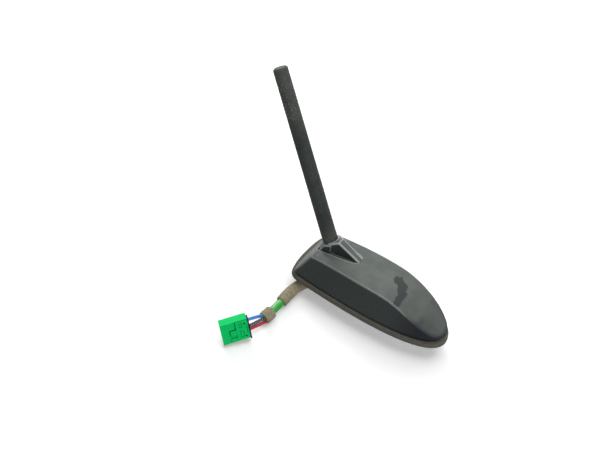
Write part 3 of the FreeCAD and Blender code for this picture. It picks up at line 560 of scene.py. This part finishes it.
def feltRing(form, spot, heading, radius, size):
    side = heading.cross(Vector((0, 0, 1))).normalized()
    up = side.cross(heading)
    shift = Vector((size["seed"], 0, 0))
    ring = []
    for turn in range(feltSurface["around"]):
        angle = 2 * math.pi * turn / feltSurface["around"]
        out = side * math.cos(angle) + up * math.sin(angle)
        point = spot + out * radius
        if radius > size["inner"]:
            wave = noise.fractal(point * feltSurface["wavesPerMetre"] + shift, *feltSurface["roughening"])
            point += out * size["ruffle"] * (wave - feltSurface["middle"])
        ring.append(form.verts.new(point))
    return ring


def feltTube(name, size):
    spots = alongSpline(leadPoints, size["start"], size["end"], size["steps"])
    form = bmesh.new()
    rings = [feltRing(form, *spots[step], radius, size) for step, radius in feltProfile(spots, size)]
    for ring, nextRing in zip(rings, rings[1:] + rings[:1]):
        for turn in range(len(ring)):
            after = (turn + 1) % len(ring)
            form.faces.new((ring[turn], ring[after], nextRing[after], nextRing[turn]))
    bmesh.ops.recalc_face_normals(form, faces=form.faces)
    for face in form.faces:
        face.smooth = True
    mesh = bpy.data.meshes.new(name)
    form.to_mesh(mesh)
    form.free()
    return addObject(name, mesh)


# felt: brown and fibrous, darkened towards the base by a painted shadow of the housing
feltLook = {
    "felt": (0.32, 0.278, 0.17), "shade": (0.19, 0.163, 0.1), "fibre": (0.5, 0.44, 0.3),
    "roughness": 0.95, "specular": 0.1, "sheen": 0.25, "sheenRoughness": 0.6,
    "grain": {"Size mm": 0.6, "Mottle mm": 2.2}, "bump": {"strength": 0.9, "depthMm": 0.35},
    "hairs": {"Size mm": 0.7, "Share": 0.8}, "hairAmount": 0.5, "hairHeight": 0.4,
    "paintedShadow": {"From": (-0.0300, -0.0020, -0.0060), "To": (-0.0462, -0.0145, -0.0060), "Radius mm": 8.0,
              "Ragged": 0.3, "Patch mm": 3.0, "Edge": 0.6},
    "paintedShadowColor": (0.06, 0.052, 0.038), "paintedShadowAmount": 0.75}


def feltMaterial(look):
    material, tree, shader = newMaterial("wornFelt", look["roughness"], specular=look["specular"])
    shader.inputs["Sheen Weight"].default_value = look["sheen"]
    shader.inputs["Sheen Roughness"].default_value = look["sheenRoughness"]
    grain = useGroup(tree, grainGroup, look["grain"])
    hairs = maskOf(tree, fleckGroup, look["hairs"])
    # painted shadow: a dark stroke on the sleeve where it runs under the housing's edge
    paintedShadow = maskOf(tree, strokeGroup, look["paintedShadow"])
    color = mixColor(tree, grain["Mottle"], look["shade"], look["felt"])
    color = layOver(tree, color, hairs, look["hairAmount"], look["fibre"])
    color = layOver(tree, color, paintedShadow, look["paintedShadowAmount"], look["paintedShadowColor"])
    tree.links.new(color, shader.inputs["Base Color"])
    height = calc(tree, "ADD", grain["Height"], calc(tree, "MULTIPLY", hairs, look["hairHeight"]))
    addBump(tree, shader, height, look["bump"])
    return material


feltCloth = feltMaterial(feltLook)
foamSleeve = feltTube("foamSleeve", sleeveSize)
tapeRing = feltTube("tapeRing", ringSize)
for piece, name in ((foamSleeve, "foam_sleeve"), (tapeRing, "tape_ring")):
    piece.data.materials.append(feltCloth)
    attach(piece, "root")
    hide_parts(name)
print("felt sleeve and ring made")


# coloured leads: glossy skins, the black one with slanted pale stripes
wireFinish = {"roughness": 0.32, "specular": 0.5, "grain": {"Size mm": 0.8, "Mottle mm": 3.0},
              "mottleAmount": 0.3, "stripeRange": (0.35, 0.8, 0.0, 0.9),
              "bump": {"strength": 0.15, "depthMm": 0.05}}
wireLooks = {"blue_lead": {"color": (0.03, 0.22, 0.62), "pale": (0.12, 0.38, 0.8)},
             "red_lead": {"color": (0.5, 0.018, 0.045), "pale": (0.62, 0.06, 0.1)},
             "black_lead": {"color": (0.012, 0.013, 0.015), "pale": (0.36, 0.37, 0.39),
                            "stripeMm": 2.2, "stripeAcross": (-0.33, -0.8, 0.71)}}


def wireMaterial(name, look):
    finish = wireFinish
    material, tree, shader = newMaterial(name, finish["roughness"], specular=finish["specular"])
    grain = useGroup(tree, grainGroup, finish["grain"])
    if "stripeMm" in look:
        across = vectorCalc(tree, "DOT_PRODUCT", objectPlace(tree), look["stripeAcross"])
        phase = calc(tree, "MULTIPLY", across, 2 * math.pi * mmPerMetre / look["stripeMm"])
        share = remap(tree, calc(tree, "SINE", phase), *finish["stripeRange"])
    else:
        share = calc(tree, "MULTIPLY", grain["Mottle"], finish["mottleAmount"])
    color = mixColor(tree, share, look["color"], look["pale"])
    tree.links.new(color, shader.inputs["Base Color"])
    addBump(tree, shader, grain["Height"], finish["bump"])
    return material


for name, look in wireLooks.items():
    dress(name, wireMaterial(name + "Skin", look))
print("leads dressed")


# plug: bright green moulding with a fine satin grain, and painted shade in its corners and recesses
plugLook = {"green": (0.0, 0.56, 0.115), "pale": (0.0, 0.6, 0.155), "deep": (0.0, 0.1, 0.025),
            "roughness": 0.6, "specular": 0.1, "grain": {"Size mm": 0.25, "Mottle mm": 4.0},
            "corners": {"Reach mm": 1.6}, "edgeRadius": 0.00035,
            "bump": {"strength": 0.15, "depthMm": 0.05}}


def plugMaterial(look):
    material, tree, shader = newMaterial("plugGreen", look["roughness"], specular=look["specular"])
    grain = useGroup(tree, grainGroup, look["grain"])
    color = mixColor(tree, grain["Mottle"], look["green"], look["pale"])
    # painted shade: corners and recesses are darkened to a deep green
    color = mixColor(tree, maskOf(tree, cornerGroup, look["corners"]), color, look["deep"])
    tree.links.new(color, shader.inputs["Base Color"])
    addBump(tree, shader, grain["Height"], look["bump"], softNormal(tree, look["edgeRadius"]))
    return material


dress("connector_housing", plugMaterial(plugLook))
print("plug dressed")


# plain pieces inside and below, each with its own finish
plainLooks = {
    "connector_retainer": {"color": (0.012, 0.012, 0.014), "dust": (0.05, 0.05, 0.05),
                           "roughness": 0.5, "dustAmount": 0.2, "grainMm": 0.4},
    "spigot_seal": {"color": (0.02, 0.02, 0.02), "dust": (0.08, 0.08, 0.075),
                    "roughness": 0.9, "dustAmount": 0.3, "grainMm": 0.9},
    "cable_grommet": {"color": (0.02, 0.02, 0.021), "dust": (0.07, 0.07, 0.065),
                      "roughness": 0.6, "dustAmount": 0.3, "grainMm": 0.5},
    "board_chips": {"color": (0.02, 0.02, 0.021), "dust": (0.06, 0.06, 0.06),
                    "roughness": 0.55, "dustAmount": 0.15, "grainMm": 0.2},
    "inner_leads": {"color": (0.03, 0.03, 0.032), "dust": (0.07, 0.07, 0.07),
                    "roughness": 0.35, "dustAmount": 0.1, "grainMm": 0.5},
    "circuit_board": {"color": (0.012, 0.11, 0.04), "dust": (0.05, 0.16, 0.08),
                      "roughness": 0.4, "dustAmount": 0.2, "grainMm": 0.4},
    "patch_antenna": {"color": (0.62, 0.56, 0.46), "dust": (0.7, 0.66, 0.58),
                      "roughness": 0.6, "dustAmount": 0.3, "grainMm": 0.3},
    "mast_core": {"color": (0.6, 0.57, 0.44), "dust": (0.7, 0.68, 0.6),
                  "roughness": 0.5, "dustAmount": 0.2, "grainMm": 0.4}}
for name, look in plainLooks.items():
    dress(name, rubberMaterial(name + "Finish", look))

# metal pieces, a little rougher where they are dull
metalFinish = {"mottleMm": 5.0, "dullRoughness": 0.15, "bump": {"strength": 0.2, "depthMm": 0.05}}
metalLooks = {
    "base_plate": {"metal": (0.5, 0.5, 0.51), "dull": (0.3, 0.3, 0.31),
                   "roughness": 0.55, "grainMm": 0.5},
    "clamp_spigot": {"metal": (0.52, 0.52, 0.53), "dull": (0.32, 0.32, 0.33),
                     "roughness": 0.5, "grainMm": 0.45},
    "base_screws": {"metal": (0.56, 0.56, 0.55), "dull": (0.36, 0.35, 0.33),
                    "roughness": 0.35, "grainMm": 0.3},
    "board_screws": {"metal": (0.56, 0.56, 0.55), "dull": (0.38, 0.37, 0.35),
                     "roughness": 0.35, "grainMm": 0.25},
    "shield_can": {"metal": (0.66, 0.66, 0.65), "dull": (0.5, 0.5, 0.5),
                   "roughness": 0.3, "grainMm": 0.4},
    "mast_ferrule": {"metal": (0.68, 0.52, 0.25), "dull": (0.45, 0.34, 0.17),
                     "roughness": 0.35, "grainMm": 0.3},
    "mast_bush": {"metal": (0.68, 0.52, 0.25), "dull": (0.45, 0.34, 0.17),
                  "roughness": 0.38, "grainMm": 0.3},
    "mast_winding": {"metal": (0.66, 0.33, 0.17), "dull": (0.42, 0.2, 0.1),
                     "roughness": 0.35, "grainMm": 0.3},
    "contact_spring": {"metal": (0.7, 0.56, 0.32), "dull": (0.5, 0.39, 0.22),
                       "roughness": 0.3, "grainMm": 0.25},
    "connector_terminals": {"metal": (0.7, 0.6, 0.4), "dull": (0.5, 0.43, 0.3),
                            "roughness": 0.3, "grainMm": 0.2}}


def metalMaterial(name, look):
    finish = metalFinish
    material, tree, shader = newMaterial(name, look["roughness"], metallic=1.0)
    grain = useGroup(tree, grainGroup, {"Size mm": look["grainMm"], "Mottle mm": finish["mottleMm"]})
    color = mixColor(tree, grain["Mottle"], look["dull"], look["metal"])
    tree.links.new(color, shader.inputs["Base Color"])
    roughest = look["roughness"] + finish["dullRoughness"]
    tree.links.new(between(tree, grain["Mottle"], roughest, look["roughness"]), shader.inputs["Roughness"])
    addBump(tree, shader, grain["Height"], finish["bump"])
    return material


for name, look in metalLooks.items():
    dress(name, metalMaterial(name + "Metal", look))
print("inner pieces dressed")


# stage: white table under the part's lowest point, light from above and behind, and a fill from the front
stageLook = {"level": cadBox[0][2], "half": 3.0, "table": (0.9, 0.9, 0.9), "bounce": 0.25,
             "roughness": 0.9, "specular": 0.1, "lift": 0.2, "near": 0.3, "far": 0.8,
             "white": (1.0, 1.0, 1.0), "sky": 0.16}
lampLooks = {"keyLamp": {"place": (-0.12, 0.28, 1.12), "size": 1.1, "power": 11.0},
             "backLamp": {"place": (-0.95, 0.55, 0.6), "size": 0.45, "power": 8.0},
             "fillLamp": {"place": (0.9, -0.6, 0.4), "size": 0.45, "power": 6.0}}


# 1 for what the eye sees, straight, mirrored or through glass, and 0 for light that bounces
def seenRay(tree):
    path = addNode(tree, "ShaderNodeLightPath").outputs
    mirrored = calc(tree, "MAXIMUM", path["Is Glossy Ray"], path["Is Transmission Ray"])
    return calc(tree, "MAXIMUM", path["Is Camera Ray"], mirrored)


def makeTable(look):
    mesh = bpy.data.meshes.new("table")
    reach, level = look["half"], look["level"]
    mesh.from_pydata([(-reach, -reach, level), (reach, -reach, level), (reach, reach, level),
                      (-reach, reach, level)], [], [(0, 1, 2, 3)])
    table = addObject("table", mesh)
    material, tree, shader = newMaterial("whiteTable", look["roughness"], specular=look["specular"])
    seen = seenRay(tree)
    dim = tuple(look["bounce"] * part for part in look["table"])
    tree.links.new(mixColor(tree, seen, dim, look["table"]), shader.inputs["Base Color"])
    away = vectorCalc(tree, "LENGTH", objectPlace(tree))
    glow = remap(tree, away, look["near"], look["far"], look["lift"], 1.0)
    shader.inputs["Emission Color"].default_value = opaque(look["white"])
    tree.links.new(calc(tree, "MULTIPLY", seen, glow), shader.inputs["Emission Strength"])
    mesh.materials.append(material)


def makeSky(look):
    world = bpy.data.worlds.new("studio")
    bpy.context.scene.world = world
    world.use_nodes = True
    tree = world.node_tree
    background = tree.nodes["Background"]
    background.inputs["Color"].default_value = opaque(look["white"])
    tree.links.new(between(tree, seenRay(tree), look["sky"], 1.0), background.inputs["Strength"])


def makeLamp(name, lamp):
    data = bpy.data.lights.new(name, "AREA")
    data.size = lamp["size"]
    data.energy = lamp["power"]
    light = addObject(name, data)
    light.location = lamp["place"]
    light.rotation_euler = (-Vector(lamp["place"])).to_track_quat("-Z", "Y").to_euler()


makeTable(stageLook)
makeSky(stageLook)
for name, lamp in lampLooks.items():
    makeLamp(name, lamp)
bpy.context.scene.view_settings.view_transform = "Standard"
print("stage lit")

bpy.context.view_layer.update()
